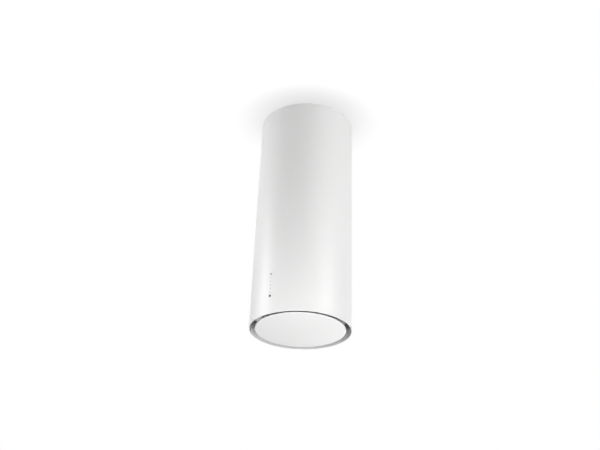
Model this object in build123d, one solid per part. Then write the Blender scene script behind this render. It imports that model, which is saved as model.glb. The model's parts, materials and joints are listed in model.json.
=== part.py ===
from build123d import *
import math
import os

# Island range hood: a plain white cylinder that hangs from the ceiling.
# Millimetres, +Z up. The origin is the centre of the ceiling plate's top face.
# The front, with the keys, faces -Y, and +X is to the right of someone standing before it.

# Outer shell
HOOD_DIAMETER = 350.0
HOOD_HEIGHT = 840.0
SHELL_WALL = 1.5
SHELL_RIM_ROUND = 0.6
SHELL_TOP_GAP = 1.5

# Fits
SEAT_GAP = 0.3
SLIP_GAP = 0.5
PIN_GAP = 0.05
SCREW_GAP = 0.15
SHELL_SEAT_GAP = 0.1

# How far a cutter runs past the faces that it cuts
CUT = 1.0

# Ceiling plate
PLATE_THICKNESS = 2.5
PLATE_SHELL_GAP = 0.7
PLATE_FLANGE_DROP = 22.0
PLATE_FLANGE_WALL = 1.5
DUCT_OPENING_DIAMETER = 200.0
ANCHOR_CIRCLE_DIAMETER = 290.0
ANCHOR_HOLE_DIAMETER = 9.0
ANCHOR_COUNT = 4

# Frame rails, in order round the axis, and the tabs that they are bolted to
RAIL_CORNERS = ["rear_right", "rear_left", "front_left", "front_right"]
TAB_MARGIN = 18.0
TAB_THICKNESS = 2.0
TAB_WIDTH = 26.0
TAB_LENGTH = 44.0
RAIL_WALL = 2.0
RAIL_DEPTH = 20.0
RAIL_END_GAP = 3.0
FRAME_SCREW_PITCH = 20.0
FRAME_SCREW_DIAMETER = 5.0
FRAME_HEAD_DIAMETER = 9.0
FRAME_HEAD_HEIGHT = 3.0
WELD_NUT_DIAMETER = 10.0
WELD_NUT_HEIGHT = 4.0

# Sheet screws of the air box
SCREW_DIAMETER = 4.0
SCREW_HEAD_DIAMETER = 7.0
SCREW_HEAD_HEIGHT = 2.4
SCREW_LENGTH = 8.0
SOCKET_SHARE = 0.4
SOCKET_DEPTH = 1.2
HEX_SIDES = 6

# Bottom panel
SUCTION_GAP = 18.0
PANEL_RECESS = 1.0
PANEL_DEPTH = 3.5
PANEL_SHEET = 1.5
PANEL_EDGE_ROUND = 2.5
PAN_INSET = 23.5
PAN_HEIGHT = 6.0
PAN_SHEET = 1.0
PAN_SLOPE = 4.0
PAN_FLANGE = 6.0
PANEL_SCREW_DIAMETER = 5.0
PANEL_SCREW_LENGTH = 4.0
PANEL_SCREW_SINK = 0.2

# Panel hinge
HINGE_INSET = 18.0
HINGE_RISE = 8.0
HINGE_SPACING = 80.0
ARM_THICKNESS = 8.0
ARM_LEG = 5.0
ARM_FOOT_HEIGHT = 6.0
HINGE_EYE_DIAMETER = 10.0
HINGE_PIN_DIAMETER = 4.0
HINGE_PIN_HEAD_DIAMETER = 6.4
HINGE_PIN_HEAD_HEIGHT = 1.2
EAR_THICKNESS = 2.0
EAR_BASE_SHEET = 1.2

# Magnetic catches
CATCH_SPACING = 80.0
CATCH_WIDTH = 16.0
CATCH_SHEET = 2.0
CATCH_REACH = 33.0
MAGNET_DIAMETER = 14.0
MAGNET_HEIGHT = 6.7
STRIKE_DIAMETER = 18.0
STRIKE_THICKNESS = 1.5

# Filter deck, which closes the air box from below
DECK_HEIGHT = 46.0
DECK_SHEET = 2.0
DECK_SCREW_COUNT = 8
POST_RING = 28.8
POST_GAP = 0.8
FILTER_COLLAR_WALL = 1.2
FILTER_COLLAR_DROP = 13.0

# Grease filter
FILTER_FRAME_WIDTH = 12.5
FILTER_FRAME_HEIGHT = 11.2
MESH_THICKNESS = 2.0
MESH_COVER = 1.7
MESH_GROOVE = 1.2
MESH_PITCH = 13.6
MESH_HOLE_DIAMETER = 10.5
LUG_SPACING = 40.0
LUG_WIDTH = 10.0
LUG_HEIGHT = 3.0
LUG_RISE = 3.5
LUG_REACH = 4.0
LATCH_WIDTH = 16.0
LATCH_THICKNESS = 3.0
LATCH_RISE = 2.7
LATCH_REACH = 4.5
LATCH_INNER = 12.0
LATCH_GRIP_DROP = 8.0
LATCH_GRIP_SHEET = 3.0

# Ring light
LED_CHANNEL_WIDTH = 10.5
LED_CHANNEL_HEIGHT = 8.0
LED_CHANNEL_WALL = 1.0
LED_EDGE_GAP = 1.5
LED_SCREW_GAP = 1.5
LED_STRIP_THICKNESS = 1.0
LED_DIFFUSER_THICKNESS = 2.0

# Air box
CAN_HEIGHT = 300.0
CAN_SHEET = 1.0
CAN_TOP_FLANGE = 11.0
LID_SHEET = 2.0
LID_SCREW_COUNT = 8
SHELL_BRACKET_SHEET = 1.5
SHELL_BRACKET_WIDTH = 20.0
SHELL_BRACKET_HEIGHT = 26.0

# Outlet collar and its non-return flaps
COLLAR_DIAMETER = 149.0
COLLAR_WALL = 2.5
COLLAR_HEIGHT = 85.0
COLLAR_FLANGE_MARGIN = 6.0
COLLAR_FLANGE_SHEET = 2.5
LEDGE_RISE = 7.0
LEDGE_HEIGHT = 2.0
LEDGE_WIDTH = 3.5
FLAP_SHEET = 1.5
FLAP_GAP = 1.5
FLAP_AXIS_RISE = 2.7
FLAP_KNUCKLE_DIAMETER = 6.4
FLAP_KNUCKLE_COUNT = 4
FLAP_KNUCKLE_SPAN = 116.0
FLAP_INNER_EDGE = 4.0
DAMPER_PIN_DIAMETER = 3.0

# Blower
SCROLL_CAN_GAP = 5.0
SCROLL_STEP = 10.0
SCROLL_HALF_WIDTH = 55.0
SCROLL_OUTLET_HALF = 60.0
SCROLL_OUTLET_RISE = 140.0
SCROLL_SHEET = 1.2
SCROLL_HEM = 3.0
SCROLL_FLANGE_WIDTH = 18.0
SCROLL_FLANGE_SHEET = 1.5
TONGUE_ROUND = 8.0
INLET_INSET = 2.0
INLET_LIP = 4.0
INLET_LIP_WALL = 2.0
IMPELLER_TONGUE_GAP = 13.0
IMPELLER_BLADE_DEPTH = 14.0
IMPELLER_SIDE_GAP = 6.0
IMPELLER_RING = 3.0
IMPELLER_DISC = 2.0
IMPELLER_HUB_DIAMETER = 20.0
IMPELLER_HUB_LENGTH = 18.0
BLADE_COUNT = 30
BLADE_SHEET = 1.2
BLADE_INSET = 0.5
BLADE_RADIUS = 20.0

# Motor
SHAFT_DIAMETER = 8.0
SHAFT_OVERHANG = 2.0
MOTOR_DIAMETER = 70.0
MOTOR_WALL = 1.5
MOTOR_HUB_GAP = 4.0
END_CAP_SHEET = 2.0
BEARING_DIAMETER = 22.0
BEARING_WIDTH = 7.0
BEARING_SEAT_WALL = 2.0
CORE_LENGTH = 30.0
STATOR_WIDTH = 11.0
ROTOR_GAP = 0.4
BRACKET_SHEET = 2.0
BRACKET_ARM_COUNT = 3
BRACKET_ARM_WIDTH = 14.0
BRACKET_FOOT_GAP = 4.0
BRACKET_LEG = 4.0
BRACKET_LIP_GAP = 2.0
BRACKET_HOLE_DIAMETER = 24.0
MOTOR_SCREW_CIRCLE = 54.0

# Control box
BOX_WIDTH = 90.0
BOX_DEPTH = 46.0
BOX_HEIGHT = 45.0
BOX_WALL = 2.0
BOX_SHELL_GAP = 9.0
BOX_LID_SHEET = 3.0
BOARD_THICKNESS = 1.6
BOARD_MARGIN = 1.0
BOARD_POST_DIAMETER = 7.0
BOARD_POST_HEIGHT = 8.0
DRIVER_LENGTH = 44.0
DRIVER_WIDTH = 28.0
DRIVER_HEIGHT = 20.0
GLAND_DIAMETER = 16.0
GLAND_FLANGE_DIAMETER = 20.0
GLAND_FLANGE_HEIGHT = 4.0
GLAND_LENGTH = 16.0
GLAND_BORE_DIAMETER = 8.0
GLAND_EDGE_MARGIN = 20.0

# Keys, counted from the lowest
KEY_NAMES = [
    "power_key",
    "speed_one_key",
    "speed_two_key",
    "speed_three_key",
    "speed_four_key",
    "timer_key",
    "light_key",
]
KEY_RISE = 16.0
KEY_PITCH = 13.2
KEY_DIAMETER = 5.0
POWER_KEY_DIAMETER = 8.0
KEY_STANDOUT = 0.7
KEY_GAP = 0.3
KEY_TRAVEL = 0.8
KEY_FLANGE_MARGIN = 1.2
KEY_FLANGE_SHEET = 0.8
KEY_STEM_DIAMETER = 3.0
KEY_EDGE_ROUND = 0.3

# Key unit behind the shell
KEYPAD_WIDTH = 26.0
KEYPAD_WALL = 2.0
KEYPAD_WEB = 1.5
KEYPAD_LIP = 1.6
KEYPAD_CAN_GAP = 1.5
STUD_OFFSET = 8.0
STUD_DIAMETER = 3.0
STUD_END_MARGIN = 6.0
STUD_BOSS_DIAMETER = 6.0
STEM_STANDOUT = 1.2
SWITCH_SIZE = 4.5
SWITCH_HEIGHT = 2.0
PLUNGER_DIAMETER = 2.4
PLUNGER_HEIGHT = 0.8
NUT_WIDTH = 5.5
NUT_HEIGHT = 2.4

# Key unit stations along Y, from the shell inwards
shell_outer = HOOD_DIAMETER / 2
shell_inner = shell_outer - SHELL_WALL
key_front_y = -shell_outer - KEY_STANDOUT
key_flange_y = -shell_inner + KEY_GAP
key_stem_y = key_flange_y + KEY_FLANGE_SHEET
keypad_pocket_y = key_stem_y + KEY_TRAVEL + KEY_GAP
keypad_wall_y = keypad_pocket_y + KEYPAD_WEB
stem_end_y = keypad_wall_y + STEM_STANDOUT
plunger_y = stem_end_y + KEY_TRAVEL + SEAT_GAP
switch_y = plunger_y + PLUNGER_HEIGHT
board_front_y = switch_y + SWITCH_HEIGHT
board_back_y = board_front_y + BOARD_THICKNESS
keypad_back_y = board_back_y + KEYPAD_LIP
stud_end_y = board_back_y + NUT_HEIGHT

# Radii, from the shell inwards
plate_radius = shell_inner - PLATE_SHELL_GAP
deck_radius = shell_inner - SLIP_GAP
can_outer = -stud_end_y - KEYPAD_CAN_GAP
can_inner = can_outer - CAN_SHEET
led_outer = deck_radius - LED_EDGE_GAP
led_inner = led_outer - LED_CHANNEL_WIDTH
deck_screw_radius = (led_inner + led_outer) / 2
filter_collar_outer = led_inner - POST_RING
filter_collar_inner = filter_collar_outer - FILTER_COLLAR_WALL
filter_outer = filter_collar_inner - SLIP_GAP
filter_inner = filter_outer - FILTER_FRAME_WIDTH
panel_radius = shell_inner - SUCTION_GAP
pan_radius = panel_radius - PAN_INSET
duct_opening_radius = DUCT_OPENING_DIAMETER / 2
tab_inner = duct_opening_radius + TAB_MARGIN
tab_outer = tab_inner + TAB_THICKNESS
collar_outer = COLLAR_DIAMETER / 2
collar_inner = collar_outer - COLLAR_WALL
lid_screw_radius = can_inner - CAN_TOP_FLANGE / 2

# Heights, from the rim upwards
rim_z = -HOOD_HEIGHT
panel_bottom = rim_z + PANEL_RECESS
panel_floor = panel_bottom + PANEL_SHEET
panel_top = panel_bottom + PANEL_DEPTH
pan_top = panel_floor + PAN_HEIGHT
strike_top = pan_top + STRIKE_THICKNESS
catch_foot_z = strike_top + SEAT_GAP + MAGNET_HEIGHT
deck_bottom = rim_z + DECK_HEIGHT
deck_top = deck_bottom + DECK_SHEET
deck_screw_z = deck_bottom - LED_CHANNEL_WALL
flange_top = deck_top + CAN_SHEET
can_top = deck_top + CAN_HEIGHT
lid_top = can_top + LID_SHEET
filter_top = deck_bottom - SEAT_GAP
filter_bottom = filter_top - FILTER_FRAME_HEIGHT
filter_collar_bottom = deck_bottom - FILTER_COLLAR_DROP
mesh_top = filter_top - MESH_COVER
mesh_bottom = mesh_top - MESH_THICKNESS
latch_bottom = filter_bottom + LATCH_RISE
latch_top = latch_bottom + LATCH_THICKNESS
collar_top = lid_top + COLLAR_HEIGHT
ledge_top = lid_top + LEDGE_RISE + LEDGE_HEIGHT
flap_bottom = ledge_top + SEAT_GAP
flap_axis_z = flap_bottom + FLAP_AXIS_RISE
plate_bottom = -PLATE_THICKNESS
key_heights = [deck_top + KEY_RISE + KEY_PITCH * index for index in range(len(KEY_NAMES))]
stud_heights = [key_heights[0] - STUD_OFFSET, key_heights[-1] + STUD_OFFSET]
keypad_bottom = stud_heights[0] - STUD_END_MARGIN
keypad_top = stud_heights[1] + STUD_END_MARGIN

# Places of the hinge and the catches, whose legs stand just outside the filter collar
post_radius = filter_collar_outer + POST_GAP
hinge_y = panel_radius - HINGE_INSET
hinge_z = panel_bottom + HINGE_RISE
arm_inner_x = HINGE_SPACING / 2 - ARM_THICKNESS / 2
arm_outer_x = HINGE_SPACING / 2 + ARM_THICKNESS / 2
arm_near = math.sqrt(post_radius ** 2 - arm_inner_x ** 2)
arm_far = arm_near + ARM_LEG
ear_inner_x = arm_inner_x - SEAT_GAP - EAR_THICKNESS
ear_outer_x = arm_outer_x + SEAT_GAP + EAR_THICKNESS
catch_inner_x = CATCH_SPACING / 2 - CATCH_WIDTH / 2
catch_outer_x = CATCH_SPACING / 2 + CATCH_WIDTH / 2
catch_near = math.sqrt(post_radius ** 2 - catch_inner_x ** 2)
catch_far = catch_near + CATCH_SHEET
catch_y = -catch_far + CATCH_REACH

# Places of the frame
rail_bottom = lid_top + RAIL_END_GAP
rail_top = plate_bottom - RAIL_END_GAP
upper_joint_z = plate_bottom - TAB_LENGTH / 2 - RAIL_END_GAP / 2
lower_joint_z = lid_top + TAB_LENGTH / 2 + RAIL_END_GAP / 2
frame_screw_heights = [
    joint_z + side * FRAME_SCREW_PITCH / 2
    for joint_z in (lower_joint_z, upper_joint_z)
    for side in (-1, 1)
]

# Scroll and fan, in Y and Z. The scroll is as large as the can leaves room for.
scroll_side_x = SCROLL_HALF_WIDTH + SCROLL_SHEET
scroll_reach = math.sqrt((can_inner - SCROLL_CAN_GAP) ** 2 - scroll_side_x ** 2)
scroll_limit_y = scroll_reach - SCROLL_SHEET - SCROLL_HEM
scroll_radius = (scroll_limit_y + SCROLL_STEP + SCROLL_OUTLET_HALF) / 2
scroll_y = SCROLL_OUTLET_HALF - scroll_radius
scroll_z = can_top - SCROLL_OUTLET_RISE
fan_y = scroll_y - SCROLL_STEP / 2
fan_z = scroll_z - SCROLL_STEP / 2
scroll_middle_radius = scroll_radius - SCROLL_STEP
scroll_least_radius = scroll_middle_radius - SCROLL_STEP
impeller_radius = scroll_least_radius - SCROLL_STEP / 2 - IMPELLER_TONGUE_GAP
blade_start = impeller_radius - IMPELLER_BLADE_DEPTH
inlet_radius = blade_start - INLET_INSET
lip_radius = inlet_radius + INLET_LIP_WALL
bracket_reach = lip_radius + BRACKET_FOOT_GAP + 2 * BRACKET_LEG
scroll_screw_x = SCROLL_HALF_WIDTH + SCROLL_FLANGE_WIDTH / 2
scroll_screw_y = SCROLL_OUTLET_HALF + SCROLL_FLANGE_WIDTH / 2
collar_flange_radius = math.hypot(scroll_screw_x, scroll_screw_y) + COLLAR_FLANGE_MARGIN

# Motor stations along X, from the impeller outwards
motor_start = IMPELLER_DISC / 2 + MOTOR_HUB_GAP
cap_end = scroll_side_x + INLET_LIP + BRACKET_LIP_GAP
motor_end = cap_end - END_CAP_SHEET
shaft_start = IMPELLER_DISC / 2 - IMPELLER_HUB_LENGTH - SHAFT_OVERHANG
shaft_end = motor_end - END_CAP_SHEET / 2
core_start = (motor_start + motor_end - CORE_LENGTH) / 2
core_end = core_start + CORE_LENGTH
front_bearing_start = motor_start + MOTOR_WALL
rear_bearing_start = motor_end - BEARING_WIDTH
stator_outer = MOTOR_DIAMETER / 2 - MOTOR_WALL
stator_inner = stator_outer - STATOR_WIDTH

# Control box corners
box_outer_x = -math.sqrt((shell_inner - BOX_SHELL_GAP) ** 2 - (BOX_WIDTH / 2) ** 2)
box_inner_x = box_outer_x + BOX_DEPTH
box_mid_x = (box_outer_x + box_inner_x) / 2
gland_y = BOX_WIDTH / 2 - GLAND_EDGE_MARGIN
box_floor = lid_top + BOX_WALL
box_top = lid_top + BOX_HEIGHT
board_bottom = box_floor + BOARD_POST_HEIGHT


def round_angles(count):
    """Even angles in degrees for a ring of places, the first of them on the +X axis."""
    return [360.0 * index / count for index in range(count)]


def staggered_angles(count):
    """Even angles in degrees for a ring of places, half a step away from the +X axis."""
    return [angle + 180.0 / count for angle in round_angles(count)]


def rail_angles():
    """Angles in degrees of the four frame rails."""
    return staggered_angles(len(RAIL_CORNERS))


def tube(outer_radius, inner_radius, bottom, top):
    """Upright ring between two heights."""
    height = top - bottom
    ring = Cylinder(outer_radius, height) - Cylinder(inner_radius, height)
    return Pos(0, 0, (bottom + top) / 2) * ring


def disc(radius, bottom, top):
    """Upright round plate between two heights."""
    return Pos(0, 0, (bottom + top) / 2) * Cylinder(radius, top - bottom)


def block(x_range, y_range, z_range):
    """Box between two values on each axis."""
    ranges = (x_range, y_range, z_range)
    sizes = [abs(high - low) for low, high in ranges]
    middles = [(low + high) / 2 for low, high in ranges]
    return Pos(*middles) * Box(*sizes)


def rod(radius, start, end):
    """Round bar from one point to another."""
    first = Vector(*start)
    along = Vector(*end) - first
    bar = Cylinder(radius, along.length, align=(Align.CENTER, Align.CENTER, Align.MIN))
    return Plane(origin=first, z_dir=along) * bar


def upright_rod(radius, x, y, bottom, top):
    """Upright round bar between two heights."""
    return rod(radius, (x, y, bottom), (x, y, top))


def fan_rod(radius, x_start, x_end):
    """Round bar on the fan's axis."""
    return rod(radius, (x_start, fan_y, fan_z), (x_end, fan_y, fan_z))


def fan_ring(outer_radius, inner_radius, x_start, x_end):
    """Ring on the fan's axis."""
    return fan_rod(outer_radius, x_start, x_end) - fan_rod(inner_radius, x_start, x_end)


def spun(shape, angle):
    """Shape turned about the hood's axis."""
    return Rot(0, 0, angle) * shape


def on_circle(radius, angle):
    """Point of a plane at a radius and an angle in degrees."""
    turn = math.radians(angle)
    return radius * math.cos(turn), radius * math.sin(turn)


def mirrored_pair(shape):
    """A shape and its mirror image across the YZ plane."""
    return [shape, mirror(shape, about=Plane.YZ)]


def screw(diameter, head_diameter, head_height, length):
    """Screw with its head above Z = 0 and its shank below."""
    head = Pos(0, 0, head_height / 2) * Cylinder(head_diameter / 2, head_height)
    shank = Pos(0, 0, -length / 2) * Cylinder(diameter / 2, length)
    socket = extrude(RegularPolygon(head_diameter * SOCKET_SHARE / 2, HEX_SIDES), SOCKET_DEPTH)
    return head + shank - Pos(0, 0, head_height - SOCKET_DEPTH) * socket


def sheet_screw():
    """The sheet screw used all over the air box."""
    return screw(SCREW_DIAMETER, SCREW_HEAD_DIAMETER, SCREW_HEAD_HEIGHT, SCREW_LENGTH)


def upright_hole(diameter, x, y, bottom, top):
    """Cutter for an upright hole through a sheet between two heights."""
    return upright_rod(diameter / 2, x, y, bottom - CUT, top + CUT)


def screw_hole(x, y, bottom, top):
    """Cutter for an upright sheet screw."""
    return upright_hole(SCREW_DIAMETER + 2 * SCREW_GAP, x, y, bottom, top)


def deck_screw_points():
    """X and Y of the screws that hold the deck, the can and the light together."""
    return [on_circle(deck_screw_radius, angle) for angle in staggered_angles(DECK_SCREW_COUNT)]


def tab(z_range):
    """Upright tab of the frame, on the +X side."""
    return block((tab_inner, tab_outer), (-TAB_WIDTH / 2, TAB_WIDTH / 2), z_range)


def frame_screw_holes():
    """Cutters for the frame screws, on the +X side."""
    radius = FRAME_SCREW_DIAMETER / 2 + SCREW_GAP
    far = tab_outer + RAIL_WALL + WELD_NUT_HEIGHT + CUT
    return [rod(radius, (tab_inner - CUT, 0, z), (far, 0, z)) for z in frame_screw_heights]


def ceiling_plate():
    plate = tube(plate_radius, duct_opening_radius, plate_bottom, 0)
    plate += tube(plate_radius, plate_radius - PLATE_FLANGE_WALL, -PLATE_FLANGE_DROP, 0)
    for angle in rail_angles():
        upright = tab((plate_bottom - TAB_LENGTH, plate_bottom / 2)) - frame_screw_holes()
        plate += spun(upright, angle)
    for angle in round_angles(ANCHOR_COUNT):
        x, y = on_circle(ANCHOR_CIRCLE_DIAMETER / 2, angle)
        plate -= upright_hole(ANCHOR_HOLE_DIAMETER, x, y, plate_bottom, 0)
    return plate


def frame_rail(angle):
    z_range = (rail_bottom, rail_top)
    half = TAB_WIDTH / 2
    rail = block((tab_outer, tab_outer + RAIL_WALL), (-half, half), z_range)
    rail += block((tab_outer, tab_outer + RAIL_DEPTH), (half - RAIL_WALL, half), z_range)
    for z in frame_screw_heights:
        start = tab_outer + RAIL_WALL
        rail += rod(WELD_NUT_DIAMETER / 2, (start, 0, z), (start + WELD_NUT_HEIGHT, 0, z))
    return spun(rail - frame_screw_holes(), angle)


def frame_screws():
    length = TAB_THICKNESS + RAIL_WALL + WELD_NUT_HEIGHT
    bolt = screw(FRAME_SCREW_DIAMETER, FRAME_HEAD_DIAMETER, FRAME_HEAD_HEIGHT, length)
    bolts = []
    for angle in rail_angles():
        for z in frame_screw_heights:
            seat = Plane(origin=(tab_inner, 0, z), z_dir=(-1, 0, 0))
            bolts.append(spun(seat * bolt, angle))
    return bolts


def key_radius(index):
    diameter = POWER_KEY_DIAMETER if index == 0 else KEY_DIAMETER
    return diameter / 2


def outer_shell():
    shell = tube(shell_outer, shell_inner, rim_z, -SHELL_TOP_GAP)
    rim_edges = shell.edges().filter_by(GeomType.CIRCLE).group_by(Axis.Z)[0]
    shell = fillet(rim_edges, SHELL_RIM_ROUND)
    for index, z in enumerate(key_heights):
        hole_radius = key_radius(index) + KEY_GAP
        shell -= rod(hole_radius, (0, -shell_outer - CUT, z), (0, -shell_inner + CUT, z))
    stud_root_y = -shell_inner - SHELL_WALL / 2
    for z in stud_heights:
        shell += rod(STUD_DIAMETER / 2, (0, stud_root_y, z), (0, stud_end_y, z))
    return shell


def shell_brackets():
    outer = shell_inner - SHELL_SEAT_GAP
    foot_top = flange_top + SHELL_BRACKET_SHEET
    foot = tube(outer, can_outer + SLIP_GAP, flange_top, foot_top)
    wall = tube(outer, outer - SHELL_BRACKET_SHEET, flange_top, flange_top + SHELL_BRACKET_HEIGHT)
    half = SHELL_BRACKET_WIDTH / 2
    slice_box = block((0, shell_outer), (-half, half), (flange_top, flange_top + SHELL_BRACKET_HEIGHT))
    bracket = (foot + wall) & slice_box
    bracket -= screw_hole(deck_screw_radius, 0, flange_top, foot_top)
    return [spun(bracket, angle) for angle in staggered_angles(DECK_SCREW_COUNT)[::2]]


def blower_can():
    can = tube(can_outer, can_inner, deck_top, can_top)
    can += tube(deck_radius - SLIP_GAP, can_inner, deck_top, flange_top)
    can += tube(can_outer, can_inner - CAN_TOP_FLANGE, can_top - CAN_SHEET, can_top)
    for x, y in deck_screw_points():
        can -= screw_hole(x, y, deck_top, flange_top)
    for x, y in lid_screw_points():
        can -= screw_hole(x, y, can_top - CAN_SHEET, can_top)
    return can


def lid_screw_points():
    """X and Y of the screws between the lid and the can."""
    return [on_circle(lid_screw_radius, angle) for angle in staggered_angles(LID_SCREW_COUNT)]


def outlet_screw_points():
    """X and Y of the screws that hold the collar and the scroll to the lid."""
    return [(x * scroll_screw_x, y * scroll_screw_y) for x in (-1, 1) for y in (-1, 1)]


def can_lid():
    lid = disc(can_outer, can_top, lid_top) - disc(collar_inner, can_top, lid_top)
    for angle in rail_angles():
        upright = tab((can_top + LID_SHEET / 2, lid_top + TAB_LENGTH)) - frame_screw_holes()
        lid += spun(upright, angle)
    for x, y in lid_screw_points() + outlet_screw_points():
        lid -= screw_hole(x, y, can_top, lid_top)
    return lid


def lid_screws():
    flange_seat = lid_top + COLLAR_FLANGE_SHEET
    lid_set = [Pos(x, y, lid_top) * sheet_screw() for x, y in lid_screw_points()]
    return lid_set + [Pos(x, y, flange_seat) * sheet_screw() for x, y in outlet_screw_points()]


def latch_slot():
    """Cutter that leaves room for the filter's latch, out of the frame and through the collar."""
    half = LATCH_WIDTH / 2 + SEAT_GAP
    y_range = (-filter_collar_outer - CUT, -filter_inner + LATCH_WIDTH)
    return block((-half, half), y_range, (latch_bottom - SEAT_GAP, latch_top + SEAT_GAP))


def filter_lugs(margin):
    """The two fixed lugs at the filter's rear, grown by a margin on the faces that fit a slot."""
    half = LUG_WIDTH / 2 + margin
    bottom = filter_bottom + LUG_RISE - margin
    top = filter_bottom + LUG_RISE + LUG_HEIGHT + margin
    y_range = (filter_outer - LUG_REACH, filter_collar_outer + LUG_REACH)
    x_range = (LUG_SPACING / 2 - half, LUG_SPACING / 2 + half)
    return mirrored_pair(block(x_range, y_range, (bottom, top)))


def filter_deck():
    deck = tube(deck_radius, filter_inner, deck_bottom, deck_top)
    collar = tube(filter_collar_outer, filter_collar_inner, filter_collar_bottom, deck_bottom)
    collar -= latch_slot()
    collar -= filter_lugs(SEAT_GAP)
    deck += collar
    for x, y in deck_screw_points():
        deck -= screw_hole(x, y, deck_bottom, deck_top)
    return deck


def deck_screws():
    seats = [Plane(origin=(x, y, deck_screw_z), z_dir=(0, 0, -1)) for x, y in deck_screw_points()]
    return [seat * sheet_screw() for seat in seats]


def filter_frame():
    frame = tube(filter_outer, filter_inner, filter_bottom, filter_top)
    groove_radius = filter_inner + MESH_GROOVE
    frame -= disc(groove_radius, mesh_bottom - PIN_GAP, mesh_top + PIN_GAP)
    for lug in filter_lugs(0):
        frame += lug
    return frame - latch_slot()


def filter_mesh():
    radius = filter_inner + MESH_GROOVE - PIN_GAP
    limit = filter_inner - MESH_HOLE_DIAMETER
    row_step = MESH_PITCH * math.sqrt(3) / 2
    rows = int(limit / row_step)
    columns = int(limit / MESH_PITCH) + 1
    holes = []
    for row in range(-rows, rows + 1):
        for column in range(-columns, columns + 1):
            x = (column + (row % 2) / 2) * MESH_PITCH
            y = row * row_step
            if math.hypot(x, y) < limit:
                holes.append(Wire.make_circle(MESH_HOLE_DIAMETER / 2, Plane((x, y, mesh_bottom))))
    sheet = Face(Wire.make_circle(radius, Plane((0, 0, mesh_bottom))), holes)
    return extrude(sheet, MESH_THICKNESS, dir=(0, 0, 1))


def filter_latch():
    x_range = (-LATCH_WIDTH / 2, LATCH_WIDTH / 2)
    inner_y = -filter_inner + LATCH_INNER
    tongue_y = -filter_collar_outer - LATCH_REACH
    slider = block(x_range, (tongue_y, inner_y), (latch_bottom, latch_top))
    grip_bottom = filter_bottom - LATCH_GRIP_DROP
    return slider + block(x_range, (inner_y - LATCH_GRIP_SHEET, inner_y), (grip_bottom, latch_top))


def led_channel():
    bottom = deck_bottom - LED_CHANNEL_HEIGHT
    channel = tube(led_outer, led_inner, bottom, deck_bottom)
    hollow_outer = led_outer - LED_CHANNEL_WALL
    hollow_inner = led_inner + LED_CHANNEL_WALL
    channel -= tube(hollow_outer, hollow_inner, bottom, deck_screw_z)
    for x, y in deck_screw_points():
        channel -= screw_hole(x, y, deck_screw_z, deck_bottom)
    return channel


def led_strip():
    inset = LED_CHANNEL_WALL + SLIP_GAP
    strip = tube(led_outer - inset, led_inner + inset, deck_screw_z - LED_STRIP_THICKNESS, deck_screw_z)
    half = SCREW_HEAD_DIAMETER / 2 + LED_SCREW_GAP
    gap = block((led_inner, led_outer), (-half, half), (deck_bottom - LED_CHANNEL_HEIGHT, deck_bottom))
    return strip - [spun(gap, angle) for angle in staggered_angles(DECK_SCREW_COUNT)]


def led_diffuser():
    bottom = deck_bottom - LED_CHANNEL_HEIGHT
    inset = LED_CHANNEL_WALL + PIN_GAP
    return tube(led_outer - inset, led_inner + inset, bottom, bottom + LED_DIFFUSER_THICKNESS)


def hinge_rod(radius, x_start, x_end):
    """Round bar on the panel's hinge axis."""
    return rod(radius, (x_start, hinge_y, hinge_z), (x_end, hinge_y, hinge_z))


def hinge_arms():
    x_range = (arm_inner_x, arm_outer_x)
    foot_bottom = hinge_z - ARM_FOOT_HEIGHT / 2
    arm = block(x_range, (arm_near, arm_far), (foot_bottom, deck_bottom))
    arm += block(x_range, (arm_near, hinge_y), (foot_bottom, foot_bottom + ARM_FOOT_HEIGHT))
    arm += hinge_rod(HINGE_EYE_DIAMETER / 2, arm_inner_x, arm_outer_x)
    arm -= hinge_rod(HINGE_PIN_DIAMETER / 2 + PIN_GAP, arm_inner_x - CUT, arm_outer_x + CUT)
    return mirrored_pair(arm)


def hinge_brackets():
    eye = HINGE_EYE_DIAMETER / 2
    y_range = (hinge_y - eye, hinge_y + eye)
    bracket = block((ear_inner_x, ear_outer_x), y_range, (panel_floor, panel_floor + EAR_BASE_SHEET))
    for x_start in (ear_inner_x, ear_outer_x - EAR_THICKNESS):
        x_end = x_start + EAR_THICKNESS
        bracket += block((x_start, x_end), y_range, (panel_floor, hinge_z))
        bracket += hinge_rod(eye, x_start, x_end)
    bracket -= hinge_rod(HINGE_PIN_DIAMETER / 2 + PIN_GAP, ear_inner_x - CUT, ear_outer_x + CUT)
    return mirrored_pair(bracket)


def hinge_pins():
    pin = hinge_rod(HINGE_PIN_DIAMETER / 2, ear_inner_x - SLIP_GAP, ear_outer_x)
    head_end = ear_outer_x + HINGE_PIN_HEAD_HEIGHT
    pin += hinge_rod(HINGE_PIN_HEAD_DIAMETER / 2, ear_outer_x, head_end)
    return mirrored_pair(pin)


def panel_face():
    outside = disc(panel_radius, panel_bottom, panel_top)
    outside = fillet(outside.edges().group_by(Axis.Z)[0], PANEL_EDGE_ROUND)
    inside = disc(panel_radius - PANEL_SHEET, panel_floor, panel_top)
    inside = fillet(inside.edges().group_by(Axis.Z)[0], PANEL_EDGE_ROUND - PANEL_SHEET)
    hole = upright_hole(PANEL_SCREW_DIAMETER + 2 * SCREW_GAP, 0, 0, panel_bottom, panel_floor)
    return outside - inside - hole


def panel_pan():
    foot = pan_radius - PAN_FLANGE
    shoulder = foot - PAN_SLOPE
    low = panel_floor + PAN_SHEET
    under = pan_top - PAN_SHEET
    outline = Polyline(
        (0, pan_top),
        (shoulder, pan_top),
        (foot, low),
        (pan_radius, low),
        (pan_radius, panel_floor),
        (foot - PAN_SHEET, panel_floor),
        (shoulder - PAN_SHEET, under),
        (0, under),
        close=True,
    )
    return revolve(Plane.XZ * make_face(outline), Axis.Z)


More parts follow.
